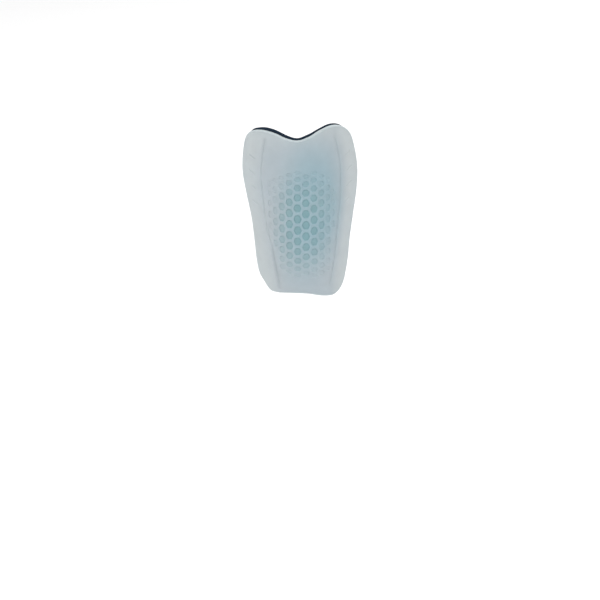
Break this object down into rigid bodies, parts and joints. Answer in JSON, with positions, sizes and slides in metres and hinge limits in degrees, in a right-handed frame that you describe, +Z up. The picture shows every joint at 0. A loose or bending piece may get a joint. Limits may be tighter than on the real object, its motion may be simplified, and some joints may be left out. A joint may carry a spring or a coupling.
{
  "type": "ski shin pad",
  "caption": "Curved gel shin pad with a scalloped top edge, a honeycomb of shallow pockets between flex grooves, and a thin dark textile liner on the skin side.",
  "frame": {"origin": "middle of the crest on the skin side, where the pad sits on the front of the shin", "axes": "+Z up the shin, -Y out of the pad's front, +X to the right as seen from the front"},
  "size_m": [0.0985, 0.0353, 0.1521],
  "materials": {
    "gel": "milky translucent gel, satin",
    "liner": "matt navy knit on thin foam"
  },
  "bodies": {
    "root": {"gel_pad": "gel", "backing_liner": "liner"}
  },
  "joints": []
}
